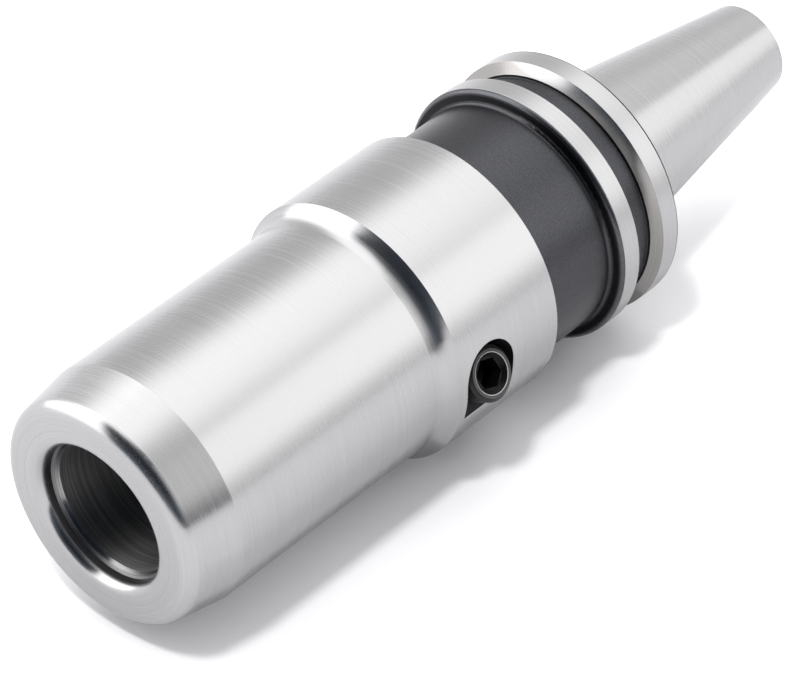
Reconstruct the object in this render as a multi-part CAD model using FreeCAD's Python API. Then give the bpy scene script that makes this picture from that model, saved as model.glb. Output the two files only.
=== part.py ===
"""Hydraulic chuck with a steep-taper shank: a turned body with a brazed-in expansion sleeve,
a pressure screw that drives a sealed piston, an oil filling screw and a tool length stop.

The origin is the centre of the gauge plane, +X runs along the chuck axis towards the nose.
Lengths are in millimetres. Side stations are measured from the gauge plane along X.
"""
import FreeCAD, Part
import math
import os

# Steep taper shank, size 30
GAUGE_R = 15.875
TAPER_SLOPE = 7 / 48
TAPER_LENGTH = 47.8
TAPER_END_CHAMFER = 0.6

# Gripper flange and the neck in front of it
FLANGE_R = 25.0
FLANGE_REAR_X = 3.2
FLANGE_WIDTH = 15.9
FLANGE_REAR_CHAMFER = 0.6
FLANGE_FRONT_CHAMFER = 0.9
GROOVE_X = 11.1
GROOVE_HALF_WIDTH = 3.38
GROOVE_DEPTH = 2.5
GROOVE_FLANK_DEG = 30.0
TAPER_ROOT_FILLET = 0.8
NECK_STEP = 2.6
NECK_LENGTH = 17.3
NECK_FILLET = 0.8

# Tool bore and the expansion sleeve around it
TOOL_BORE_R = 12.5
MOUTH_STEP = 0.7
MOUTH_DEPTH = 2.9
MOUTH_LIP_ROUND = 1.8
ENTRY_CHAMFER_LENGTH = 1.2
MEMBRANE_WALL = 2.7
CHAMBER_DEPTH = 0.8
SLEEVE_LENGTH = 58.6
SLEEVE_HEAD_STEP = 0.5
SLEEVE_HEAD_LENGTH = 6.0
SLEEVE_LAND = 4.0
FRONT_LAND_END = 10.0
REAR_LAND_LENGTH = 8.0
BRAZE_GAP = 0.02

# Nose and collar around the sleeve
NOSE_WALL = 6.8
NOSE_CONE_LENGTH = 10.7
NOSE_CONE_DEG = 9.5
NOSE_EDGE_ROUND = 2.6
SHOULDER_RISE = 2.2
SHOULDER_FILLET = 4.75
COLLAR_LENGTH = 24.8
COLLAR_CHAMFER = 0.3

# Clearance room and length stop behind the tool bore
RELIEF_STEP = 0.3
RELIEF_LENGTH = 2.0
STOP_THREAD_R = 6.0
STOP_CONE_DEG = 60.0
STOP_SINK = 1.1
STOP_LENGTH = 20.0
STOP_TRAVEL = 10.0
STOP_THREAD_SPARE = 10.0
STOP_HEX = 6.0
STOP_HEX_DEPTH = 6.0
STOP_HOLE_R = 1.6
STOP_CHAMFER = 0.8
STOP_SEAL_LAND = 2.0
STOP_SEAL_WIDTH = 1.9
STOP_SEAL_DEPTH = 1.2

# Drawbar thread, its pilot bore and the coolant bore in the shank
DRAWBAR_R = 5.1
DRAWBAR_DEPTH = 30.0
PILOT_STEP = 1.4
PILOT_DEPTH = 5.5
COOLANT_STEP = 1.1

# Pressure screw, thrust ball and piston, on one line that passes beside the length stop
SCREW_SETBACK = 7.0
SCREW_TO_SLEEVE = 10.8
SCREW_DEG = 30.0
LINE_WALL = 2.0
PISTON_BORE_R = 4.0
PISTON_BORE_DEPTH = 18.2
THREAD_STEP = 1.0
THREAD_DEPTH = 9.95
POCKET_STEP = 0.9
POCKET_DEPTH = 7.35
SCREW_STANDOUT = 4.55
SCREW_LENGTH = 10.0
SCREW_CHAMFER = 0.7
SCREW_HEX = 5.0
SCREW_HEX_DEPTH = 5.0
SCREW_HEX_SINK = 0.8
SCREW_HEX_TURN_DEG = 14.0
BALL_R = 2.0
BALL_GAP = 0.6
PISTON_LENGTH = 7.4
PISTON_SEAL_LAND = 1.2
PISTON_GROOVE_DEPTH = 1.1
PISTON_CHAMFER = 0.5
SEAL_WIDTH = 1.5
BACKUP_WIDTH = 0.5

# Filling screw and the oil passages
FILL_SETBACK = 3.0
FILL_DEG = -54.0
FILL_POCKET_R = 5.8
FILL_POCKET_DEPTH = 2.5
FILL_THREAD_R = 2.5
FILL_THREAD_DEPTH = 4.2
FILL_SCREW_SINK = 0.1
FILL_TIP_LENGTH = 1.5
FILL_HEX = 2.5
FILL_HEX_DEPTH = 1.6
FILL_PORT_R = 0.8
FILL_PORT_LIFT = 0.5
OIL_CHANNEL_R = 1.25
OIL_CHANNEL_LIFT = 1.9
OIL_CHANNEL_BURIAL = 0.6
OIL_CHANNEL_OVERLAP = 2.0

# Clearances between pieces
THREAD_GAP = 0.03
PISTON_GAP = 0.03
SEAL_GAP = 0.02
BALL_SEAT_GAP = 0.03

DRILL_POINT_DEG = 59.0
OUTSIDE = 3.0

# Radii that follow, from the bore outwards
GROOVE_R = FLANGE_R - GROOVE_DEPTH
NECK_R = FLANGE_R - NECK_STEP
MOUTH_R = TOOL_BORE_R + MOUTH_STEP
RELIEF_R = TOOL_BORE_R + RELIEF_STEP
CHAMBER_R = TOOL_BORE_R + MEMBRANE_WALL
SLEEVE_R = CHAMBER_R + CHAMBER_DEPTH
SLEEVE_HEAD_R = SLEEVE_R + SLEEVE_HEAD_STEP
NOSE_R = SLEEVE_R + NOSE_WALL
COLLAR_R = NOSE_R + SHOULDER_RISE
PILOT_R = DRAWBAR_R + PILOT_STEP
COOLANT_R = DRAWBAR_R - COOLANT_STEP
SCREW_THREAD_R = PISTON_BORE_R + THREAD_STEP
POCKET_R = SCREW_THREAD_R + POCKET_STEP
PISTON_GROOVE_R = PISTON_BORE_R - PISTON_GROOVE_DEPTH

# Stations along X that follow, from the flange to the nose
FLANGE_FRONT_X = FLANGE_REAR_X + FLANGE_WIDTH
COLLAR_REAR_X = FLANGE_FRONT_X + NECK_LENGTH
COLLAR_FRONT_X = COLLAR_REAR_X + COLLAR_LENGTH
SCREW_X = COLLAR_FRONT_X - SCREW_SETBACK
FILL_X = SCREW_X - FILL_SETBACK
SLEEVE_REAR_X = SCREW_X + SCREW_TO_SLEEVE
NOSE_X = SLEEVE_REAR_X + SLEEVE_LENGTH
RELIEF_REAR_X = SLEEVE_REAR_X - RELIEF_LENGTH
STOP_CONE_X = RELIEF_REAR_X - (RELIEF_R - STOP_THREAD_R) / math.tan(math.radians(STOP_CONE_DEG))
STOP_FRONT_X = STOP_CONE_X - STOP_SINK
STOP_BORE_END_X = STOP_FRONT_X - STOP_LENGTH - STOP_TRAVEL - STOP_THREAD_SPARE

# Stations along the pressure line and the filling line that follow, from the collar inwards
SCREW_OFFSET = STOP_THREAD_R + LINE_WALL + PISTON_BORE_R
POCKET_FLOOR = COLLAR_R - POCKET_DEPTH
SCREW_TOP = POCKET_FLOOR + SCREW_STANDOUT
THREAD_BOTTOM = POCKET_FLOOR - THREAD_DEPTH
PISTON_BORE_BOTTOM = THREAD_BOTTOM - PISTON_BORE_DEPTH
FILL_FLOOR = COLLAR_R - FILL_POCKET_DEPTH
FILL_THREAD_BOTTOM = FILL_FLOOR - FILL_THREAD_DEPTH
FILL_PORT_END = SCREW_OFFSET + FILL_PORT_LIFT
OIL_CHANNEL_ALONG = PISTON_BORE_BOTTOM + OIL_CHANNEL_LIFT

X_AXIS = FreeCAD.Vector(1, 0, 0)
ORIGIN = FreeCAD.Vector(0, 0, 0)


def tan_deg(angle):
    return math.tan(math.radians(angle))


def cross_point(x, angle_deg, along, side=0.0):
    """Point at station x: along the given direction, and side of it within the cross-section."""
    c = math.cos(math.radians(angle_deg))
    s = math.sin(math.radians(angle_deg))
    return FreeCAD.Vector(x, along * c - side * s, along * s + side * c)


def cross_direction(angle_deg):
    return cross_point(0, angle_deg, 1)


def arc_points(centre, radius, start_deg, end_deg):
    """Middle and end point of an arc, as one step of an outline."""
    points = []
    for angle in ((start_deg + end_deg) / 2, end_deg):
        a = math.radians(angle)
        points.append((centre[0] + radius * math.cos(a), centre[1] + radius * math.sin(a)))
    return tuple(points)


def turned(start, steps):
    """Solid of revolution about X. A step is a point (x, r), or an arc's middle and end."""
    edges = []
    here = FreeCAD.Vector(start[0], start[1], 0)
    for step in steps + [start]:
        if isinstance(step[0], tuple):
            middle = FreeCAD.Vector(step[0][0], step[0][1], 0)
            there = FreeCAD.Vector(step[1][0], step[1][1], 0)
            edges.append(Part.Arc(here, middle, there).toShape())
        else:
            there = FreeCAD.Vector(step[0], step[1], 0)
            edges.append(Part.makeLine(here, there))
        here = there
    return Part.Face(Part.Wire(edges)).revolve(ORIGIN, X_AXIS, 360)


def on_line(shape, x, angle_deg, side=0.0):
    """Moves a piece that was turned about X onto a line across the chuck."""
    start = cross_point(x, angle_deg, 0, side)
    turn = FreeCAD.Rotation(X_AXIS, cross_direction(angle_deg))
    placed = shape.copy()
    placed.Placement = FreeCAD.Placement(start, turn)
    return placed


def hex_corner_r(width):
    """Distance from the middle of a hexagon to its corners."""
    return width / math.sqrt(3)


def hex_socket(width, bottom_x, top_x, turn_deg=0.0):
    """Hexagonal key socket along X, with a drill point under it."""
    corner_r = hex_corner_r(width)
    corners = []
    for i in range(7):
        a = math.radians(turn_deg + 60 * i)
        corners.append(FreeCAD.Vector(bottom_x, corner_r * math.cos(a), corner_r * math.sin(a)))
    prism = Part.Face(Part.makePolygon(corners)).extrude(X_AXIS * (top_x - bottom_x))
    half = width / 2
    point = turned((bottom_x - half / tan_deg(DRILL_POINT_DEG), 0),
                   [(bottom_x, half), (bottom_x + half / 2, half), (bottom_x + half / 2, 0)])
    return prism.fuse(point)


def taper_radius(x):
    return GAUGE_R + TAPER_SLOPE * x


def body_outside():
    """Outer form of the one-piece body, from the small end of the taper to the nose."""
    end_x = -TAPER_LENGTH
    root_r = taper_radius(FLANGE_REAR_X) + TAPER_ROOT_FILLET
    root_x = FLANGE_REAR_X - TAPER_ROOT_FILLET
    flank = (FLANGE_R - GROOVE_R) * tan_deg(GROOVE_FLANK_DEG)
    floor_half = GROOVE_HALF_WIDTH - flank
    shoulder_run = math.sqrt(2 * SHOULDER_FILLET * SHOULDER_RISE - SHOULDER_RISE ** 2)
    shoulder_x = COLLAR_FRONT_X + shoulder_run
    shoulder_deg = math.degrees(math.asin(shoulder_run / SHOULDER_FILLET))
    cone_rise = NOSE_CONE_LENGTH * tan_deg(NOSE_CONE_DEG)
    face_edge_r = NOSE_R - cone_rise
    edge_sweep = 90 - NOSE_CONE_DEG
    edge_run = NOSE_EDGE_ROUND * tan_deg(edge_sweep / 2)
    edge_centre = (NOSE_X - NOSE_EDGE_ROUND, face_edge_r - edge_run)
    cone_end = arc_points(edge_centre, NOSE_EDGE_ROUND, edge_sweep, edge_sweep)[1]
    steps = [
        (end_x, taper_radius(end_x) - TAPER_END_CHAMFER),
        (end_x + TAPER_END_CHAMFER, taper_radius(end_x + TAPER_END_CHAMFER)),
        (root_x, taper_radius(root_x)),
        arc_points((root_x, root_r), TAPER_ROOT_FILLET, -90, 0),
        (FLANGE_REAR_X, FLANGE_R - FLANGE_REAR_CHAMFER),
        (FLANGE_REAR_X + FLANGE_REAR_CHAMFER, FLANGE_R),
        (GROOVE_X - GROOVE_HALF_WIDTH, FLANGE_R),
        (GROOVE_X - floor_half, GROOVE_R),
        (GROOVE_X + floor_half, GROOVE_R),
        (GROOVE_X + GROOVE_HALF_WIDTH, FLANGE_R),
        (FLANGE_FRONT_X - FLANGE_FRONT_CHAMFER, FLANGE_R),
        (FLANGE_FRONT_X, FLANGE_R - FLANGE_FRONT_CHAMFER),
        (FLANGE_FRONT_X, NECK_R + NECK_FILLET),
        arc_points((FLANGE_FRONT_X + NECK_FILLET, NECK_R + NECK_FILLET), NECK_FILLET, 180, 270),
        (COLLAR_REAR_X - NECK_FILLET, NECK_R),
        arc_points((COLLAR_REAR_X - NECK_FILLET, NECK_R + NECK_FILLET), NECK_FILLET, 270, 360),
        (COLLAR_REAR_X, COLLAR_R - COLLAR_CHAMFER),
        (COLLAR_REAR_X + COLLAR_CHAMFER, COLLAR_R),
        (COLLAR_FRONT_X, COLLAR_R),
        arc_points((shoulder_x, NOSE_R + SHOULDER_FILLET), SHOULDER_FILLET, 270 - shoulder_deg, 270),
        (NOSE_X - NOSE_CONE_LENGTH, NOSE_R),
        cone_end,
        arc_points(edge_centre, NOSE_EDGE_ROUND, edge_sweep, 0),
        (NOSE_X, 0),
    ]
    return turned((end_x, 0), steps)


def body_bores():
    """Everything bored along the axis: sleeve seat, relief, stop thread, coolant, drawbar thread."""
    stop_point = STOP_BORE_END_X - (STOP_THREAD_R - COOLANT_R) / tan_deg(DRILL_POINT_DEG)
    rear_x = -TAPER_LENGTH
    thread_end = rear_x + DRAWBAR_DEPTH
    thread_point = thread_end + (DRAWBAR_R - COOLANT_R) / tan_deg(DRILL_POINT_DEG)
    steps = [
        (NOSE_X + OUTSIDE, SLEEVE_HEAD_R),
        (NOSE_X - SLEEVE_HEAD_LENGTH, SLEEVE_HEAD_R),
        (NOSE_X - SLEEVE_HEAD_LENGTH, SLEEVE_R),
        (SLEEVE_REAR_X, SLEEVE_R),
        (SLEEVE_REAR_X, RELIEF_R),
        (RELIEF_REAR_X, RELIEF_R),
        (STOP_CONE_X, STOP_THREAD_R),
        (STOP_BORE_END_X, STOP_THREAD_R),
        (stop_point, COOLANT_R),
        (thread_point, COOLANT_R),
        (thread_end, DRAWBAR_R),
        (rear_x + PILOT_DEPTH, DRAWBAR_R),
        (rear_x + PILOT_DEPTH, PILOT_R),
        (rear_x - OUTSIDE, PILOT_R),
        (rear_x - OUTSIDE, 0),
    ]
    return turned((NOSE_X + OUTSIDE, 0), steps)


def pressure_screw_cut():
    """Flat-floored pocket, screw thread and piston bore, along the line of the pressure screw."""
    point = PISTON_BORE_BOTTOM - PISTON_BORE_R / tan_deg(DRILL_POINT_DEG)
    top = COLLAR_R + OUTSIDE
    bore = turned((point, 0), [
        (PISTON_BORE_BOTTOM, PISTON_BORE_R),
        (THREAD_BOTTOM, PISTON_BORE_R),
        (THREAD_BOTTOM, SCREW_THREAD_R),
        (POCKET_FLOOR, SCREW_THREAD_R),
        (POCKET_FLOOR, POCKET_R),
        (top, POCKET_R),
        (top, 0),
    ])
    cut = on_line(bore, SCREW_X, SCREW_DEG, -SCREW_OFFSET)
    along = X_AXIS * (2 * POCKET_R)
    across = cross_point(0, SCREW_DEG, 0, COLLAR_R)
    corner = cross_point(SCREW_X - POCKET_R, SCREW_DEG, POCKET_FLOOR, -SCREW_OFFSET - COLLAR_R)
    corners = [corner, corner + along, corner + along + across, corner + across, corner]
    height = cross_direction(SCREW_DEG) * (top - POCKET_FLOOR)
    run_out = Part.Face(Part.makePolygon(corners)).extrude(height)
    return cut.fuse(run_out)


def fill_screw_cut():
    """Flat spot face, short thread and fine port down to the piston bore."""
    top = COLLAR_R + OUTSIDE
    hole = turned((FILL_PORT_END, 0), [
        (FILL_PORT_END, FILL_PORT_R),
        (FILL_THREAD_BOTTOM, FILL_PORT_R),
        (FILL_THREAD_BOTTOM + FILL_TIP_LENGTH, FILL_THREAD_R),
        (FILL_FLOOR, FILL_THREAD_R),
        (FILL_FLOOR, FILL_POCKET_R),
        (top, FILL_POCKET_R),
        (top, 0),
    ])
    return on_line(hole, FILL_X, FILL_DEG)


def oil_drilling(start_x, end_x):
    """Drilling along X in the wall of the sleeve seat, level with the end of the piston bore."""
    radius = SLEEVE_R + OIL_CHANNEL_BURIAL
    side = -math.sqrt(radius ** 2 - OIL_CHANNEL_ALONG ** 2)
    start = cross_point(start_x, SCREW_DEG, OIL_CHANNEL_ALONG, side)
    return Part.makeCylinder(OIL_CHANNEL_R, end_x - start_x, start, X_AXIS)


def chuck_body():
    body = body_outside().cut(body_bores())
    body = body.cut(pressure_screw_cut())
    body = body.cut(fill_screw_cut())
    channel_end = SLEEVE_REAR_X + REAR_LAND_LENGTH + OIL_CHANNEL_OVERLAP
    return body.cut(oil_drilling(SCREW_X, channel_end))


def expansion_sleeve():
    """Thin sleeve whose wall is squeezed inwards by oil in two ring chambers."""
    head_r = SLEEVE_HEAD_R - BRAZE_GAP
    land_r = SLEEVE_R - BRAZE_GAP
    rear = SLEEVE_REAR_X
    middle = (rear + REAR_LAND_LENGTH + NOSE_X - FRONT_LAND_END) / 2
    mouth_x = NOSE_X - MOUTH_DEPTH
    lip_centre = (NOSE_X - MOUTH_LIP_ROUND, MOUTH_R + MOUTH_LIP_ROUND)
    steps = [
        (rear, land_r),
        (rear + REAR_LAND_LENGTH, land_r),
        (rear + REAR_LAND_LENGTH, CHAMBER_R),
        (middle - SLEEVE_LAND / 2, CHAMBER_R),
        (middle - SLEEVE_LAND / 2, land_r),
        (middle + SLEEVE_LAND / 2, land_r),
        (middle + SLEEVE_LAND / 2, CHAMBER_R),
        (NOSE_X - FRONT_LAND_END, CHAMBER_R),
        (NOSE_X - FRONT_LAND_END, land_r),
        (NOSE_X - SLEEVE_HEAD_LENGTH, land_r),
        (NOSE_X - SLEEVE_HEAD_LENGTH, head_r),
        (NOSE_X, head_r),
        (NOSE_X, lip_centre[1]),
        arc_points(lip_centre, MOUTH_LIP_ROUND, 0, -90),
        (mouth_x, MOUTH_R),
        (mouth_x - ENTRY_CHAMFER_LENGTH, TOOL_BORE_R),
    ]
    sleeve = turned((rear, TOOL_BORE_R), steps)
    return sleeve.cut(oil_drilling(middle - SLEEVE_LAND, middle + SLEEVE_LAND))


def pressure_screw():
    """Set screw with chamfered ends, a countersunk socket and a round seat for the thrust ball."""
    r = SCREW_THREAD_R - THREAD_GAP
    bottom = SCREW_TOP - SCREW_LENGTH
    corner_r = hex_corner_r(SCREW_HEX)
    sink = turned((SCREW_TOP - SCREW_HEX_SINK, 0), [
        (SCREW_TOP - SCREW_HEX_SINK, corner_r),
        (SCREW_TOP, corner_r + SCREW_HEX_SINK),
        (SCREW_TOP, 0),
    ])
    screw = turned((bottom, 0), [
        (bottom, r - SCREW_CHAMFER),
        (bottom + SCREW_CHAMFER, r),
        (SCREW_TOP - SCREW_CHAMFER, r),
        (SCREW_TOP, r - SCREW_CHAMFER),
        (SCREW_TOP, 0),
    ])
    screw = screw.cut(hex_socket(SCREW_HEX, SCREW_TOP - SCREW_HEX_DEPTH, SCREW_TOP + OUTSIDE,
                                 SCREW_HEX_TURN_DEG))
    screw = screw.cut(sink)
    screw = screw.cut(ball(BALL_R + BALL_SEAT_GAP))
    return on_line(screw, SCREW_X, SCREW_DEG, -SCREW_OFFSET)


def ball(radius):
    centre_x = SCREW_TOP - SCREW_LENGTH - BALL_GAP / 2
    return Part.makeSphere(radius, FreeCAD.Vector(centre_x, 0, 0))


def thrust_ball():
    return on_line(ball(BALL_R), SCREW_X, SCREW_DEG, -SCREW_OFFSET)


def piston_top():
    return SCREW_TOP - SCREW_LENGTH - BALL_GAP


def seal_start():
    return piston_top() - PISTON_LENGTH + PISTON_SEAL_LAND


def pressure_piston():
    """Piston with one groove for its seal and backup ring, and a round seat for the ball."""
    r = PISTON_BORE_R - PISTON_GAP
    top = piston_top()
    bottom = top - PISTON_LENGTH
    groove = seal_start()
    groove_end = groove + SEAL_WIDTH + BACKUP_WIDTH
    piston = turned((bottom, 0), [
        (bottom, r - PISTON_CHAMFER),
        (bottom + PISTON_CHAMFER, r),
        (groove, r),
        (groove, PISTON_GROOVE_R),
        (groove_end, PISTON_GROOVE_R),
        (groove_end, r),
        (top - PISTON_CHAMFER, r),
        (top, r - PISTON_CHAMFER),
        (top, 0),
    ])
    piston = piston.cut(ball(BALL_R + BALL_SEAT_GAP))
    return on_line(piston, SCREW_X, SCREW_DEG, -SCREW_OFFSET)


def groove_ring(start_x, width):
    """Ring that fills the piston's groove over the given width, with a little room all round."""
    inner = PISTON_GROOVE_R + SEAL_GAP
    outer = PISTON_BORE_R - SEAL_GAP
    ring = turned((start_x + SEAL_GAP, inner), [
        (start_x + SEAL_GAP, outer),
        (start_x + width - SEAL_GAP, outer),
        (start_x + width - SEAL_GAP, inner),
    ])
    return on_line(ring, SCREW_X, SCREW_DEG, -SCREW_OFFSET)


def piston_seal():
    return groove_ring(seal_start(), SEAL_WIDTH)


def piston_backup_ring():
    return groove_ring(seal_start() + SEAL_WIDTH, BACKUP_WIDTH)


def fill_screw():
    """Short socket screw whose cone tip closes the oil port."""
    r = FILL_THREAD_R - THREAD_GAP
    top = FILL_FLOOR - FILL_SCREW_SINK
    tip_x = FILL_THREAD_BOTTOM + THREAD_GAP
    screw = turned((tip_x, 0), [
        (tip_x, FILL_PORT_R - THREAD_GAP),
        (tip_x + FILL_TIP_LENGTH, r),
        (top, r),
        (top, 0),
    ])
    screw = screw.cut(hex_socket(FILL_HEX, top - FILL_HEX_DEPTH, top + OUTSIDE))
    return on_line(screw, FILL_X, FILL_DEG)


def stop_seal_start():
    return STOP_FRONT_X - STOP_LENGTH + STOP_SEAL_LAND


def stop_screw():
    """Hollow set screw that stops the tool shank; coolant passes through it."""
    r = STOP_THREAD_R - THREAD_GAP
    rear = STOP_FRONT_X - STOP_LENGTH
    groove = stop_seal_start()
    steps = [
        (rear, r - STOP_CHAMFER),
        (rear + STOP_CHAMFER, r),
        (groove, r),
        (groove, r - STOP_SEAL_DEPTH),
        (groove + STOP_SEAL_WIDTH, r - STOP_SEAL_DEPTH),
        (groove + STOP_SEAL_WIDTH, r),
        (STOP_FRONT_X - STOP_CHAMFER, r),
        (STOP_FRONT_X, r - STOP_CHAMFER),
        (STOP_FRONT_X, STOP_HOLE_R),
    ]
    screw = turned((rear, STOP_HOLE_R), steps)
    return screw.cut(hex_socket(STOP_HEX, STOP_FRONT_X - STOP_HEX_DEPTH, STOP_FRONT_X + OUTSIDE))


def stop_screw_seal():
    """Round-section ring in the groove near the rear end of the length stop."""
    middle_x = stop_seal_start() + STOP_SEAL_WIDTH / 2
    inner = STOP_THREAD_R - THREAD_GAP - STOP_SEAL_DEPTH + SEAL_GAP
    outer = STOP_THREAD_R - SEAL_GAP
    section = (outer - inner) / 2
    return Part.makeTorus((outer + inner) / 2, section, FreeCAD.Vector(middle_x, 0, 0), X_AXIS)


PIECES = {
    "chuck_body": chuck_body,
    "expansion_sleeve": expansion_sleeve,
    "pressure_screw": pressure_screw,
    "thrust_ball": thrust_ball,
    "pressure_piston": pressure_piston,
    "piston_seal": piston_seal,
    "piston_backup_ring": piston_backup_ring,
    "fill_screw": fill_screw,
    "stop_screw": stop_screw,
    "stop_screw_seal": stop_screw_seal,
}

os.makedirs("parts", exist_ok=True)
for name, make in PIECES.items():
    shape = make()
    shape.exportStep("parts/" + name + ".step")
    print(name, "valid", shape.isValid(), "solids", len(shape.Solids), "volume", round(shape.Volume, 2))
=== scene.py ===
import bpy
import math
from mathutils import Matrix, Vector

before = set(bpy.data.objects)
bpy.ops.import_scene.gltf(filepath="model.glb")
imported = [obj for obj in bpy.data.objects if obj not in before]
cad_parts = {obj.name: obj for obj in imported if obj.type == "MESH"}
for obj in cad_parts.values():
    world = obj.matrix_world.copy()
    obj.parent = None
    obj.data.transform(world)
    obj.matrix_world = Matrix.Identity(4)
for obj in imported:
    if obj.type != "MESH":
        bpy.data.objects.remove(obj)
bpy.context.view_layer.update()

# Camera: direction in degrees, place and reach in metres, lens and sensor in millimetres
CAMERA_AZIMUTH = 131.60
CAMERA_ELEVATION = 40.62
CAMERA_PLACE = (0.46120, 0.36582, 0.46294)
CAMERA_LENS = 187.5
CAMERA_SENSOR = 36.0
CAMERA_REACH = 10.0

# Stations of the chuck along X, radii about X and edge sizes, in metres
FLANGE_R = 0.025
FLANGE_REAR_X = 0.0032
FLANGE_FRONT_X = 0.0191
FRONT_CHAMFER = 0.0009
GROOVE_X = 0.0111
GROOVE_HALF = 0.00338
COLLAR_REAR_X = 0.0365
FACE_X = 0.1235

# Floor that the flange and the collar lie on
FLOOR_Z = -FLANGE_R
FLOOR_HALF = 4.0
FLOOR_COLOUR = (0.87, 0.862, 0.872, 1)
FLOOR_ROUGHNESS = 0.9

# Where the steel is black: from the flange's front chamfer to past the pocket, and in the groove;
# painted shade on a fine line in the groove's rear corner and on a fine line round the flange's rear
# edge
BLACK_START_X = 0.01822
BLACK_END_X = 0.0604
GROOVE_BLACK = 0.0021
PAINTED_SHADE_LINE_WIDTH = 0.00012
# The fine line of painted shade round the flange's rear edge
REAR_EDGE_END_X = 0.00395
REAR_EDGE_DEPTH = 0.001
REAR_EDGE_FADE = 0.0001
LAND_DEPTH = 0.00008
LAND_FINISH_END_X = 0.03
# Painted highlight: a thin bright line on the fillet where the neck meets the flange's front face
PAINTED_HIGHLIGHT_X = 0.01918
PAINTED_HIGHLIGHT_WIDTH = 0.00012
# Span over which the front chamfer fades into the painted shade of the flange's front face
CORNER_FADE = 0.4 * FRONT_CHAMFER
EDGE_BLUR = 0.00004

# Painted reflection: the groove's rear flank is darker and brownish up to this height, and has the plain
# steel's tint above it
PAINTED_REFLECTION_TOP_Z = 0.0222
PAINTED_REFLECTION_FADE = 0.001

# The tool bore: where its rougher finish and painted shade end, and the ring of its entry chamfer,
# painted darker as shade
BORE_R = 0.0133
BORE_END_X = 0.12075
RING_START_X = 0.1195
RING_END_X = 0.12022

# The pressure screw's axis crosses the chuck at this place, square to X and this far above level
SCREW_X = 0.0542
SCREW_DEG = 30.0
SCREW_LINE_OFFSET = 0.012
SCREW_RIM_R = 0.00368
SCREW_RIM = 0.00007
SCREW_FACE_R = 0.0043
THREAD_PITCH = 0.001
THREAD_CREST = (-0.4, 0.6)

# Bright steel: lowest and highest values over the tool marks, and what differs in places
STEEL_SHADES = (0.3306, 0.36192)
STEEL_ROUGHNESSES = (0.23, 0.28)
STEEL_TINT = (1.0, 0.997, 1.008)
EDGE_TINT = (0.86, 0.86, 0.87, 1)
# Painted reflection: faces at the nose's front a little brighter
FACE_PAINTED_REFLECTION_GAIN = 1.02
FACE_FADE = 0.0003
LAND_ROUGHNESS = 0.3
FLANK_ROUGHNESS = 0.2
# Colour of the painted reflection on the groove's rear flank, darker and brownish
FLANK_PAINTED_REFLECTION_TINT = (0.76, 0.74, 0.72)
ANISOTROPY = 0.7
ANISOTROPY_TURN = 0.25

# Steel in the tool bore and on its entry chamfer, painted darker as shade
BORE_PAINTED_SHADE_RANGE = (0.15, 0.27)
RING_PAINTED_SHADE_RANGE = (0.14, 0.24)
BORE_ROUGHNESS = 0.5

# Black oxide on the body
BLACK_TINT = (0.97, 0.98, 1.06)
BLACK_SHADE = 0.052
# Painted reflection: the flange's front chamfer lighter than the other oxide
CORNER_PAINTED_REFLECTION = 0.08
# Black in painted shade: the flange's front face, the pocket and the painted shade lines
BLACK_IN_PAINTED_SHADE = 0.02
# Shade of the painted highlight on the neck's fillet
PAINTED_HIGHLIGHT_SHADE = 0.08
BLACK_SPREAD = (0.8, 1.2)
BLACK_ROUGHNESS = 0.32
CORNER_ROUGHNESS = 0.33
DEEP_BLACK_ROUGHNESS = 0.5
MATT_BLACK_ROUGHNESS = 0.95

# Black oxide on the screws
NO_TINT = (1.0, 1.0, 1.0)
OXIDE_SHADES = (0.02, 0.04)
OXIDE_ROUGHNESS = 0.35
# Socket: the screw's black oxide, darkened further by painted shade
SOCKET_PAINTED_SHADE_RANGE = (0.002, 0.006)
SOCKET_ROUGHNESS = 0.4
SCREW_FACE_SHADES = (0.045, 0.075)
SCREW_FACE_ROUGHNESS = 0.5
# Painted light and shade in bands along the thread
THREAD_PAINTED_LIGHT_AND_SHADE = (0.03, 0.006)
# Painted highlight on the rim round the socket
SCREW_RIM_PAINTED_HIGHLIGHT = 0.5
SCREW_IOR = 1.2

# Rubber and plastic of the rings
RUBBER_SHADES = (0.012, 0.03)
RUBBER_ROUGHNESSES = (0.6, 0.8)
PLASTIC_TINT = (1.0, 1.0, 0.96)
PLASTIC_SHADES = (0.78, 0.86)
PLASTIC_ROUGHNESSES = (0.42, 0.52)

# Noise: its waves per metre, its stretch about the X axis, and the values that it mostly keeps between
RING_SCALE = 8000.0
RING_STRETCH = 0.003
BROAD_SCALE = 500.0
BROAD_STRETCH = 0.06
BROAD_SHARE = 0.12
STREAK_SCALE = 6000.0
STREAK_STRETCH = 0.008
SAND_SCALE = 5000.0
GRAIN_SCALE = 4000.0
RUBBER_SCALE = 2500.0
PLASTIC_SCALE = 800.0
NOISE_SPAN = (0.3, 0.7)
STREAK_SPAN = (0.35, 0.65)

# Bump: strengths, and depths in metres
MARKS_STRENGTH = 0.022
MARKS_DEPTH = 0.00002
ROUGH_STRENGTH = 0.3
GRAIN_DEPTH = 0.00003

# Radiance of the room's parts
STRIP_LIGHT = 3.05
STRIP_END_LIGHT = 0.75 * STRIP_LIGHT
SHEET_LIGHT = 2.88
LEFT_BOX_LIGHT = 3.6
REAR_WALL = 1.0
REAR_END = 1.3
HORIZON_GAIN = 1.3
MIDDLE = 1.4
DARK_SIDE = 0.04
DARK_SIDE_LOW = 0.3
COLD_TINT = (0.65, 0.85, 1.15)

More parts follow.
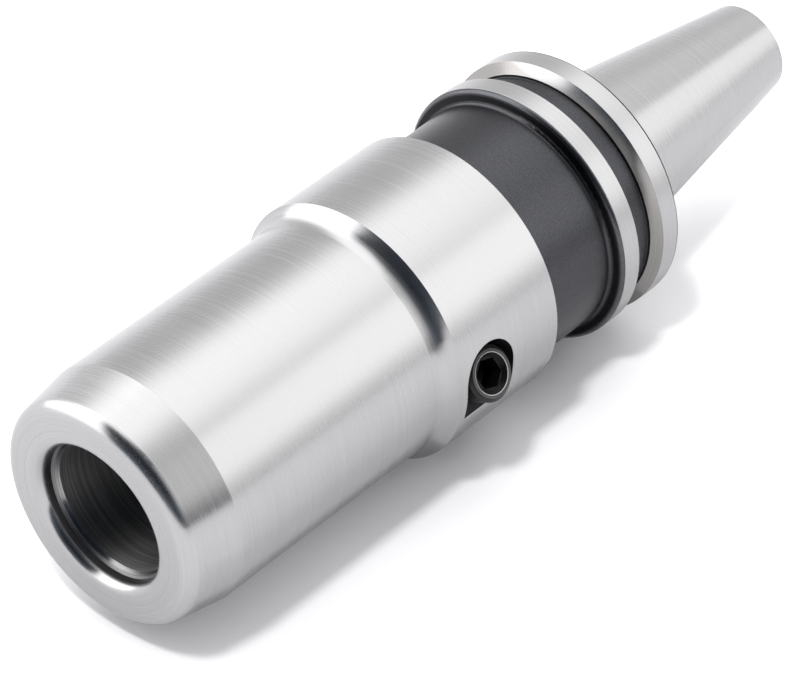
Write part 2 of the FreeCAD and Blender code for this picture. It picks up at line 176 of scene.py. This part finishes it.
# Spans over which the room's parts fade in or out, along the X, Y and Z of a direction of length one
REAR_END_X = (-0.8, -0.6)
HORIZON_Z = (0.0, 0.35)
MIDDLE_X = (-0.45, -0.15)
DARK_SIDE_X = (-0.15, 0.22)
DARK_SIDE_Z = (0.05, 0.5)
STRIP_SLOPE = 0.87
STRIP_EDGE = (0.85, 1.0)
STRIP_FRONT_X = (-0.5, -0.32)
STRIP_END_X = (-0.85, -0.6)
SHEET_NEAR_SLOPE = 0.71
SHEET_NEAR_EDGE = (-0.14, 0.28)
SHEET_FAR_SLOPE = 1.03
SHEET_FAR_EDGE = (-1.17, -0.87)
SHEET_REAR_X = (-0.75, -0.65)
SHEET_FRONT_X = (0.05, 0.2)
LEFT_BOX_Y = (-0.5, -0.33)
LEFT_BOX_X = (-0.22, -0.08)
DIM_X = (-0.57, -0.3)
DIM_Y = (-0.1, 0.1)
DIM_TOP_Z = (0.3, 0.44)
DIM_SHARE = (0.38, 0.82)
COLD_X = (-0.15, 0.2)

# Key lamp, which casts the shadow: place, target and side in metres, power in watts
KEY_PLACE = (0.6, 0.14, 1.4)
KEY_TARGET = (0.03, 0, 0)
KEY_SIDE = 0.16
KEY_POWER = 11


class Nodes:
    """Short way to write a node tree: each call makes one node and returns its output."""

    def __init__(self, owner):
        owner.use_nodes = True
        self.tree = owner.node_tree

    def make(self, kind, inputs=(), **settings):
        node = self.tree.nodes.new(kind)
        for key, value in settings.items():
            setattr(node, key, value)
        for key, value in dict(inputs).items():
            if isinstance(value, bpy.types.NodeSocket):
                self.tree.links.new(value, node.inputs[key])
            else:
                node.inputs[key].default_value = value
        return node

    def maths(self, operation, a, b=0.0):
        return self.make("ShaderNodeMath", {0: a, 1: b}, operation=operation).outputs[0]

    def both(self, a, b):
        """Product, which is the share where two shares hold at once."""
        return self.maths("MULTIPLY", a, b)

    def either(self, a, b):
        """The larger of two shares."""
        return self.maths("MAXIMUM", a, b)

    def ramp(self, value, low, high, start=0.0, end=1.0):
        """Smooth step from start to end while the value goes from low to high."""
        inputs = {"Value": value, "From Min": low, "From Max": high, "To Min": start, "To Max": end}
        return self.make("ShaderNodeMapRange", inputs, interpolation_type="SMOOTHSTEP").outputs[0]

    def blend(self, share, a, b):
        """Number a where share is 0, and b where it is 1."""
        return self.make("ShaderNodeMix", {0: share, 2: a, 3: b}).outputs[0]

    def blend_colours(self, share, a, b):
        """The same for colours."""
        return self.make("ShaderNodeMix", {0: share, 6: a, 7: b}, data_type="RGBA").outputs[2]

    def blend_vectors(self, share, a, b):
        """The same for vectors."""
        return self.make("ShaderNodeMix", {0: share, 4: a, 5: b}, data_type="VECTOR").outputs[1]

    def vector(self, x, y, z):
        return self.make("ShaderNodeCombineXYZ", {0: x, 1: y, 2: z}).outputs[0]

    def xyz(self, vector):
        return self.make("ShaderNodeSeparateXYZ", {0: vector}).outputs

    def place(self):
        """Position on the part in metres, in the frame that all its pieces share."""
        return self.make("ShaderNodeTexCoord").outputs["Object"]

    def noise(self, vector, scale, detail, roughness):
        inputs = {"Vector": vector, "Scale": scale, "Detail": detail, "Roughness": roughness}
        return self.make("ShaderNodeTexNoise", inputs).outputs[0]

    def shader(self):
        return self.tree.nodes["Principled BSDF"]

    def link(self, output, name):
        """Lead an output to the shader's input of that name."""
        self.tree.links.new(output, self.shader().inputs[name])


def camera():
    data = bpy.data.cameras.new("camera")
    data.sensor_width = CAMERA_SENSOR
    data.lens = CAMERA_LENS
    data.clip_end = CAMERA_REACH
    eye = bpy.data.objects.new("camera", data)
    bpy.context.scene.collection.objects.link(eye)
    a = math.radians(CAMERA_AZIMUTH)
    e = math.radians(CAMERA_ELEVATION)
    back = Vector((math.sin(a) * math.cos(e), -math.cos(a) * math.cos(e), math.sin(e)))
    right = Vector((0, 0, 1)).cross(back).normalized()
    turn = Matrix((right, back.cross(right), back)).transposed()
    eye.matrix_world = Matrix.Translation(CAMERA_PLACE) @ turn.to_4x4()
    bpy.context.scene.camera = eye


def key_lamp():
    data = bpy.data.lights.new("key", "AREA")
    data.shape = "RECTANGLE"
    data.size = KEY_SIDE
    data.size_y = KEY_SIDE
    data.energy = KEY_POWER
    lamp = bpy.data.objects.new("key", data)
    bpy.context.scene.collection.objects.link(lamp)
    lamp.location = KEY_PLACE
    lamp.visible_glossy = False
    lamp.rotation_euler = (Vector(KEY_TARGET) - Vector(KEY_PLACE)).to_track_quat("-Z", "Y").to_euler()


def walls(n, x, z):
    """Radiance of the room's plain walls, from the rear through the middle to the camera's dark side."""
    rear = n.both(n.ramp(x, *REAR_END_X, REAR_END, REAR_WALL), n.ramp(z, *HORIZON_Z, HORIZON_GAIN, 1))
    light = n.blend(n.ramp(x, *MIDDLE_X), rear, MIDDLE)
    return n.blend(n.ramp(x, *DARK_SIDE_X), light, n.ramp(z, *DARK_SIDE_Z, DARK_SIDE_LOW, DARK_SIDE))


def strip_share(n, x, y):
    """Where the strip behind the chuck is seen."""
    across = n.maths("SUBTRACT", y, n.maths("MULTIPLY", x, STRIP_SLOPE))
    return n.both(n.ramp(across, *STRIP_EDGE), n.ramp(x, *STRIP_FRONT_X, 1, 0))


def sheet_share(n, x, y):
    """Where the sheet above the chuck is seen."""
    near = n.ramp(n.maths("ADD", y, n.maths("MULTIPLY", x, SHEET_NEAR_SLOPE)), *SHEET_NEAR_EDGE, 1, 0)
    far = n.ramp(n.maths("ADD", y, n.maths("MULTIPLY", x, SHEET_FAR_SLOPE)), *SHEET_FAR_EDGE)
    ends = n.both(n.ramp(x, *SHEET_REAR_X), n.ramp(x, *SHEET_FRONT_X, 1, 0))
    return n.both(n.both(near, far), ends)


def dimming(n, x, y, z):
    """Share of the light that is lost low down on the side of the strip."""
    share = n.ramp(z, 0.0, n.ramp(x, *DIM_X, *DIM_TOP_Z), n.ramp(x, *DIM_X, *DIM_SHARE), 0)
    return n.both(share, n.ramp(y, *DIM_Y))


def studio():
    """Room of soft light: a strip behind, a sheet above, a box on the left, a dark camera's side."""
    world = bpy.data.worlds.new("studio")
    n = Nodes(world)
    x, y, z = n.xyz(n.make("ShaderNodeTexCoord").outputs["Generated"])
    strip_light = n.ramp(x, *STRIP_END_X, STRIP_END_LIGHT, STRIP_LIGHT)
    left_box = n.both(n.ramp(y, *LEFT_BOX_Y, 1, 0), n.ramp(x, *LEFT_BOX_X))
    light = n.blend(strip_share(n, x, y), walls(n, x, z), strip_light)
    light = n.blend(sheet_share(n, x, y), light, SHEET_LIGHT)
    light = n.blend(left_box, light, LEFT_BOX_LIGHT)
    light = n.both(light, n.maths("SUBTRACT", 1.0, dimming(n, x, y, z)))
    cold = n.both(n.ramp(x, *COLD_X), n.ramp(light, 0.0, 1.0, 1, 0))
    tint = n.vector(*[n.ramp(cold, 0, 1, 1, share) for share in COLD_TINT])
    background = n.tree.nodes["Background"]
    n.tree.links.new(light, background.inputs["Strength"])
    n.tree.links.new(tint, background.inputs["Color"])
    bpy.context.scene.world = world


def white_paper():
    """Matt paper of the floor."""
    material = bpy.data.materials.new("white_paper")
    shader = Nodes(material).shader()
    shader.inputs["Base Color"].default_value = FLOOR_COLOUR
    shader.inputs["Roughness"].default_value = FLOOR_ROUGHNESS
    shader.inputs["Specular IOR Level"].default_value = 0
    return material


def floor():
    mesh = bpy.data.meshes.new("floor")
    signs = [(-1, -1), (1, -1), (1, 1), (-1, 1)]
    corners = [(FLOOR_HALF * across, FLOOR_HALF * along, FLOOR_Z) for across, along in signs]
    mesh.from_pydata(corners, [], [(0, 1, 2, 3)])
    mesh.materials.append(white_paper())
    piece = bpy.data.objects.new("floor", mesh)
    bpy.context.scene.collection.objects.link(piece)


def radius_of(n, y, z):
    """Distance from the chuck's axis."""
    return n.maths("SQRT", n.maths("ADD", n.maths("MULTIPLY", y, y), n.maths("MULTIPLY", z, z)))


def band(n, value, low, high):
    """One between low and high, with an edge of a few hundredths of a millimetre."""
    return n.both(n.ramp(value, low, low + EDGE_BLUR), n.ramp(value, high - EDGE_BLUR, high, 1, 0))


def up_to(n, value, limit):
    """One below the limit, with the same soft edge."""
    return n.ramp(value, limit - EDGE_BLUR, limit, 1, 0)


def beyond(n, value, limit):
    """One above the limit, with the same soft edge."""
    return n.ramp(value, limit, limit + EDGE_BLUR)


def tinted(n, shade, tint):
    """Colour of one shade, tinted."""
    return n.vector(*[n.maths("MULTIPLY", shade, share) for share in tint])


def ring_grain(n, x, y, z, radius, scale, stretch):
    """Noise that is long around the X axis and fine across the tool marks."""
    across = n.maths("ADD", x, radius)
    line = n.vector(across, n.maths("MULTIPLY", y, stretch), n.maths("MULTIPLY", z, stretch))
    return n.noise(line, scale, detail=2.0, roughness=0.6)


def tool_marks(n, x, y, z, radius):
    """Height of the fine rings that the lathe leaves about the X axis."""
    rings = ring_grain(n, x, y, z, radius, RING_SCALE, RING_STRETCH)
    broad = ring_grain(n, x, y, z, radius, BROAD_SCALE, BROAD_STRETCH)
    return n.blend(BROAD_SHARE, rings, broad)


def turned_gloss(n, height, strength, normal):
    """Reflections drawn out across the rings, which a bump of their height breaks up."""
    bump = {"Strength": strength, "Distance": MARKS_DEPTH, "Height": height}
    if normal:
        bump["Normal"] = normal
    shader = n.shader()
    shader.inputs["Metallic"].default_value = 1
    shader.inputs["Specular Tint"].default_value = EDGE_TINT
    shader.inputs["Anisotropic"].default_value = ANISOTROPY
    shader.inputs["Anisotropic Rotation"].default_value = ANISOTROPY_TURN
    n.link(n.make("ShaderNodeTangent", direction_type="RADIAL", axis="X").outputs[0], "Tangent")
    n.link(n.make("ShaderNodeBump", bump).outputs[0], "Normal")


def turned_finish(n, x, marks, strength, normal=None):
    """Shade and roughness of turned steel, gloss set on the shader, and a painted reflection on the
    nose's face.
    """
    turned_gloss(n, marks, strength, normal)
    shade = n.ramp(marks, *NOISE_SPAN, *STEEL_SHADES)
    # Painted reflection: a little brighter on faces at the nose's front
    shade = n.maths("MULTIPLY", shade, n.ramp(x, FACE_X - FACE_FADE, FACE_X, 1, FACE_PAINTED_REFLECTION_GAIN))
    return shade, n.ramp(marks, *NOISE_SPAN, *STEEL_ROUGHNESSES)


def turned_steel():
    """Bright steel of the small parts."""
    material = bpy.data.materials.new("turned_steel")
    n = Nodes(material)
    x, y, z = n.xyz(n.place())
    marks = tool_marks(n, x, y, z, radius_of(n, y, z))
    shade, rough = turned_finish(n, x, marks, MARKS_STRENGTH)
    n.link(tinted(n, shade, STEEL_TINT), "Base Color")
    n.link(rough, "Roughness")
    return material


def sleeve_steel():
    """Steel bright on the face and rougher in the tool bore, where it and the entry chamfer get painted
    shade.
    """
    material = bpy.data.materials.new("sleeve_steel")
    n = Nodes(material)
    x, y, z = n.xyz(n.place())
    radius = radius_of(n, y, z)
    ring = band(n, x, RING_START_X, RING_END_X)
    inside = n.ramp(radius, BORE_R, BORE_R + EDGE_BLUR, 1, 0)
    behind = n.ramp(x, BORE_END_X, BORE_END_X + EDGE_BLUR, 1, 0)
    bore = n.both(n.both(inside, behind), n.maths("SUBTRACT", 1.0, ring))
    streaks = ring_grain(n, x, y, z, radius, STREAK_SCALE, STREAK_STRETCH)
    height = n.blend(bore, tool_marks(n, x, y, z, radius), streaks)
    shade, rough = turned_finish(n, x, height, n.blend(bore, MARKS_STRENGTH, ROUGH_STRENGTH))
    # Painted shade on the entry chamfer's ring and in the tool bore
    shade = n.blend(ring, shade, n.ramp(streaks, *STREAK_SPAN, *RING_PAINTED_SHADE_RANGE))
    shade = n.blend(bore, shade, n.ramp(streaks, *STREAK_SPAN, *BORE_PAINTED_SHADE_RANGE))
    n.link(tinted(n, shade, STEEL_TINT), "Base Color")
    n.link(n.blend(bore, rough, BORE_ROUGHNESS), "Roughness")
    return material


def rounded_normal(n, x, y, z, radius):
    """Normal of the flange's front corner, as if its chamfer were a full round."""
    start = FLANGE_FRONT_X - FRONT_CHAMFER
    turn = n.maths("MULTIPLY", n.maths("SUBTRACT", x, start), math.pi / 2 / FRONT_CHAMFER)
    outward = n.maths("DIVIDE", n.maths("COSINE", turn), radius)
    forward = n.maths("SINE", turn)
    corner = n.vector(forward, n.maths("MULTIPLY", y, outward), n.maths("MULTIPLY", z, outward))
    flat = n.make("ShaderNodeNewGeometry").outputs["Normal"]
    return n.blend_vectors(band(n, x, start, FLANGE_FRONT_X - EDGE_BLUR), flat, corner)


def black_zones(n, x, radius):
    """Shares of the body's surface by name: where it is black, and where painted shade and highlight go.
    """
    below = n.ramp(radius, FLANGE_R - LAND_DEPTH, FLANGE_R - LAND_DEPTH + EDGE_BLUR, 1, 0)
    front = band(n, x, BLACK_START_X, BLACK_END_X)
    groove = band(n, x, GROOVE_X - GROOVE_BLACK, GROOVE_X + GROOVE_BLACK)
    # Painted shade: a fine dark line in the corner between the groove's bottom and its rear flank
    line_x = GROOVE_X - GROOVE_BLACK
    line = band(n, x, line_x - PAINTED_SHADE_LINE_WIDTH, line_x + PAINTED_SHADE_LINE_WIDTH)
    # Painted shade: a fine dark line round the flange's rear edge
    edge_r = FLANGE_R - REAR_EDGE_DEPTH
    outer = n.ramp(radius, edge_r, edge_r + REAR_EDGE_FADE)
    edge = n.both(band(n, x, FLANGE_REAR_X - EDGE_BLUR, REAR_EDGE_END_X), outer)
    zones = {"below": below}
    zones["dark"] = n.either(n.both(below, n.either(front, n.either(groove, line))), edge)
    zones["matt"] = n.either(edge, line)
    zones["corner"] = n.both(front, up_to(n, x, FLANGE_FRONT_X))
    zones["shoulder"] = n.both(front, up_to(n, x, PAINTED_HIGHLIGHT_X))
    zones["pocket"] = beyond(n, x, COLLAR_REAR_X)
    # Painted highlight: a thin line on the neck's fillet
    zones["worn"] = band(n, x, PAINTED_HIGHLIGHT_X, PAINTED_HIGHLIGHT_X + PAINTED_HIGHLIGHT_WIDTH)
    return zones


def body_black(n, x, sand, zones):
    """Colour and roughness of the body's black oxide, with its painted shade, highlight and reflection.
    """
    # Painted shade: the oxide darker on the flange's front face and the inner part of its chamfer, in
    # the pocket
    face = n.both(zones["shoulder"], n.ramp(x, FLANGE_FRONT_X - CORNER_FADE, FLANGE_FRONT_X))
    # and on the painted shade lines
    in_painted_shade = n.either(zones["matt"], n.either(face, zones["pocket"]))
    # Painted reflection lightens the front chamfer
    shade = n.blend(in_painted_shade, n.blend(zones["corner"], BLACK_SHADE, CORNER_PAINTED_REFLECTION), BLACK_IN_PAINTED_SHADE)
    shade = n.maths("MULTIPLY", shade, n.ramp(sand, *NOISE_SPAN, *BLACK_SPREAD))
    colour = tinted(n, n.blend(zones["worn"], shade, PAINTED_HIGHLIGHT_SHADE), BLACK_TINT)
    rough = n.blend(zones["corner"], DEEP_BLACK_ROUGHNESS, CORNER_ROUGHNESS)
    rough = n.blend(zones["shoulder"], BLACK_ROUGHNESS, rough)
    rough = n.blend(zones["pocket"], rough, DEEP_BLACK_ROUGHNESS)
    return colour, n.blend(n.either(zones["matt"], zones["worn"]), rough, MATT_BLACK_ROUGHNESS)


def body_bright(n, x, z, shade, rough, zones):
    """Colour and roughness of the body's bright steel, and the painted reflection on the groove's rear
    flank.
    """
    outside = n.maths("SUBTRACT", 1.0, zones["below"])
    land = n.both(outside, n.ramp(x, FLANGE_FRONT_X, LAND_FINISH_END_X, 1, 0))
    # Painted reflection: the groove's rear flank darker and brownish below a height
    flank = n.both(zones["below"], band(n, x, GROOVE_X - GROOVE_HALF, GROOVE_X - GROOVE_BLACK))
    flank = n.both(flank, n.ramp(z, PAINTED_REFLECTION_TOP_Z, PAINTED_REFLECTION_TOP_Z + PAINTED_REFLECTION_FADE, 1, 0))
    colour = n.blend_colours(flank, tinted(n, shade, STEEL_TINT), tinted(n, shade, FLANK_PAINTED_REFLECTION_TINT))
    return colour, n.blend(land, n.blend(flank, rough, FLANK_ROUGHNESS), LAND_ROUGHNESS)


def body_steel():
    """Steel black from heat treatment and bright where the tool or wheel cut it, with painted shade and
    light.
    """
    material = bpy.data.materials.new("body_steel")
    n = Nodes(material)
    place = n.place()
    x, y, z = n.xyz(place)
    radius = radius_of(n, y, z)
    zones = black_zones(n, x, radius)
    dark = zones["dark"]
    sand = n.noise(place, SAND_SCALE, detail=2.0, roughness=0.6)
    height = n.blend(dark, tool_marks(n, x, y, z, radius), sand)
    strength = n.blend(dark, MARKS_STRENGTH, ROUGH_STRENGTH)
    shade, rough = turned_finish(n, x, height, strength, rounded_normal(n, x, y, z, radius))
    bright_colour, bright_rough = body_bright(n, x, z, shade, rough, zones)
    black_colour, black_rough = body_black(n, x, sand, zones)
    n.link(n.blend_colours(dark, bright_colour, black_colour), "Base Color")
    n.link(n.blend(dark, bright_rough, black_rough), "Roughness")
    return material


def oxide_grain(n):
    """Fine grain of black oxide, which also roughens the surface."""
    grain = n.noise(n.place(), GRAIN_SCALE, detail=3.0, roughness=0.7)
    bump = {"Strength": ROUGH_STRENGTH, "Distance": GRAIN_DEPTH, "Height": grain}
    n.link(n.make("ShaderNodeBump", bump).outputs[0], "Normal")
    return grain


def black_oxide():
    """Black oxide of the screws that the body hides."""
    material = bpy.data.materials.new("black_oxide")
    n = Nodes(material)
    n.shader().inputs["Roughness"].default_value = OXIDE_ROUGHNESS
    shade = n.ramp(oxide_grain(n), *NOISE_SPAN, *OXIDE_SHADES)
    n.link(tinted(n, shade, BLACK_TINT), "Base Color")
    return material


def screw_line(n, x, y, z):
    """Distance along the pressure screw's axis, and distance from it."""
    side = math.cos(math.radians(SCREW_DEG))
    up = math.sin(math.radians(SCREW_DEG))
    along = n.maths("ADD", n.maths("MULTIPLY", y, side), n.maths("MULTIPLY", z, up))
    across = n.maths("SUBTRACT", n.maths("MULTIPLY", z, side), n.maths("MULTIPLY", y, up))
    across = n.maths("ADD", across, SCREW_LINE_OFFSET)
    return along, radius_of(n, n.maths("SUBTRACT", x, SCREW_X), across)


def screw_black():
    """Black screw: socket in painted shade, grey face, painted highlight on the rim, painted light and
    shade on threads.
    """
    material = bpy.data.materials.new("screw_black")
    n = Nodes(material)
    x, y, z = n.xyz(n.place())
    along, radius = screw_line(n, x, y, z)
    rim = band(n, radius, SCREW_RIM_R - SCREW_RIM, SCREW_RIM_R + SCREW_RIM)
    face = n.ramp(radius, SCREW_RIM_R, SCREW_RIM_R + SCREW_RIM)
    thread = n.ramp(radius, SCREW_FACE_R, SCREW_FACE_R + SCREW_RIM)
    wave = n.maths("SINE", n.maths("MULTIPLY", along, math.tau / THREAD_PITCH))
    grain = oxide_grain(n)
    # Painted shade in the socket
    socket_shade = n.ramp(grain, *NOISE_SPAN, *SOCKET_PAINTED_SHADE_RANGE)
    face_shade = n.ramp(grain, *NOISE_SPAN, *SCREW_FACE_SHADES)
    shade = n.blend(face, socket_shade, face_shade)
    # Painted light and shade along the thread
    shade = n.blend(thread, shade, n.ramp(wave, *THREAD_CREST, *THREAD_PAINTED_LIGHT_AND_SHADE))
    # Painted highlight on the rim
    shade = n.blend(rim, shade, SCREW_RIM_PAINTED_HIGHLIGHT)
    n.shader().inputs["IOR"].default_value = SCREW_IOR
    n.link(tinted(n, shade, NO_TINT), "Base Color")
    n.link(n.blend(face, SOCKET_ROUGHNESS, SCREW_FACE_ROUGHNESS), "Roughness")
    return material


def rubber():
    """Matt black rubber of the seal rings."""
    material = bpy.data.materials.new("seal_rubber")
    n = Nodes(material)
    grain = n.noise(n.place(), RUBBER_SCALE, detail=3.0, roughness=0.6)
    n.link(tinted(n, n.ramp(grain, *NOISE_SPAN, *RUBBER_SHADES), NO_TINT), "Base Color")
    n.link(n.ramp(grain, *NOISE_SPAN, *RUBBER_ROUGHNESSES), "Roughness")
    return material


def white_plastic():
    """Slightly waxy white plastic of the piston's back-up ring."""
    material = bpy.data.materials.new("white_plastic")
    n = Nodes(material)
    cloud = n.noise(n.place(), PLASTIC_SCALE, detail=2.0, roughness=0.5)
    n.link(tinted(n, n.ramp(cloud, *NOISE_SPAN, *PLASTIC_SHADES), PLASTIC_TINT), "Base Color")
    n.link(n.ramp(cloud, *NOISE_SPAN, *PLASTIC_ROUGHNESSES), "Roughness")
    return material


def dress(material, *nodes):
    """Give the nodes this material."""
    for node in nodes:
        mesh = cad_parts[node].data
        mesh.materials.clear()
        mesh.materials.append(material)


camera()
floor()
studio()
key_lamp()

dress(body_steel(), "chuck_body")
dress(sleeve_steel(), "expansion_sleeve")
dress(screw_black(), "pressure_screw")
dress(black_oxide(), "fill_screw", "stop_screw")
dress(turned_steel(), "thrust_ball", "pressure_piston")
dress(rubber(), "piston_seal", "stop_screw_seal")
dress(white_plastic(), "piston_backup_ring")

bpy.context.scene.view_settings.view_transform = "Standard"
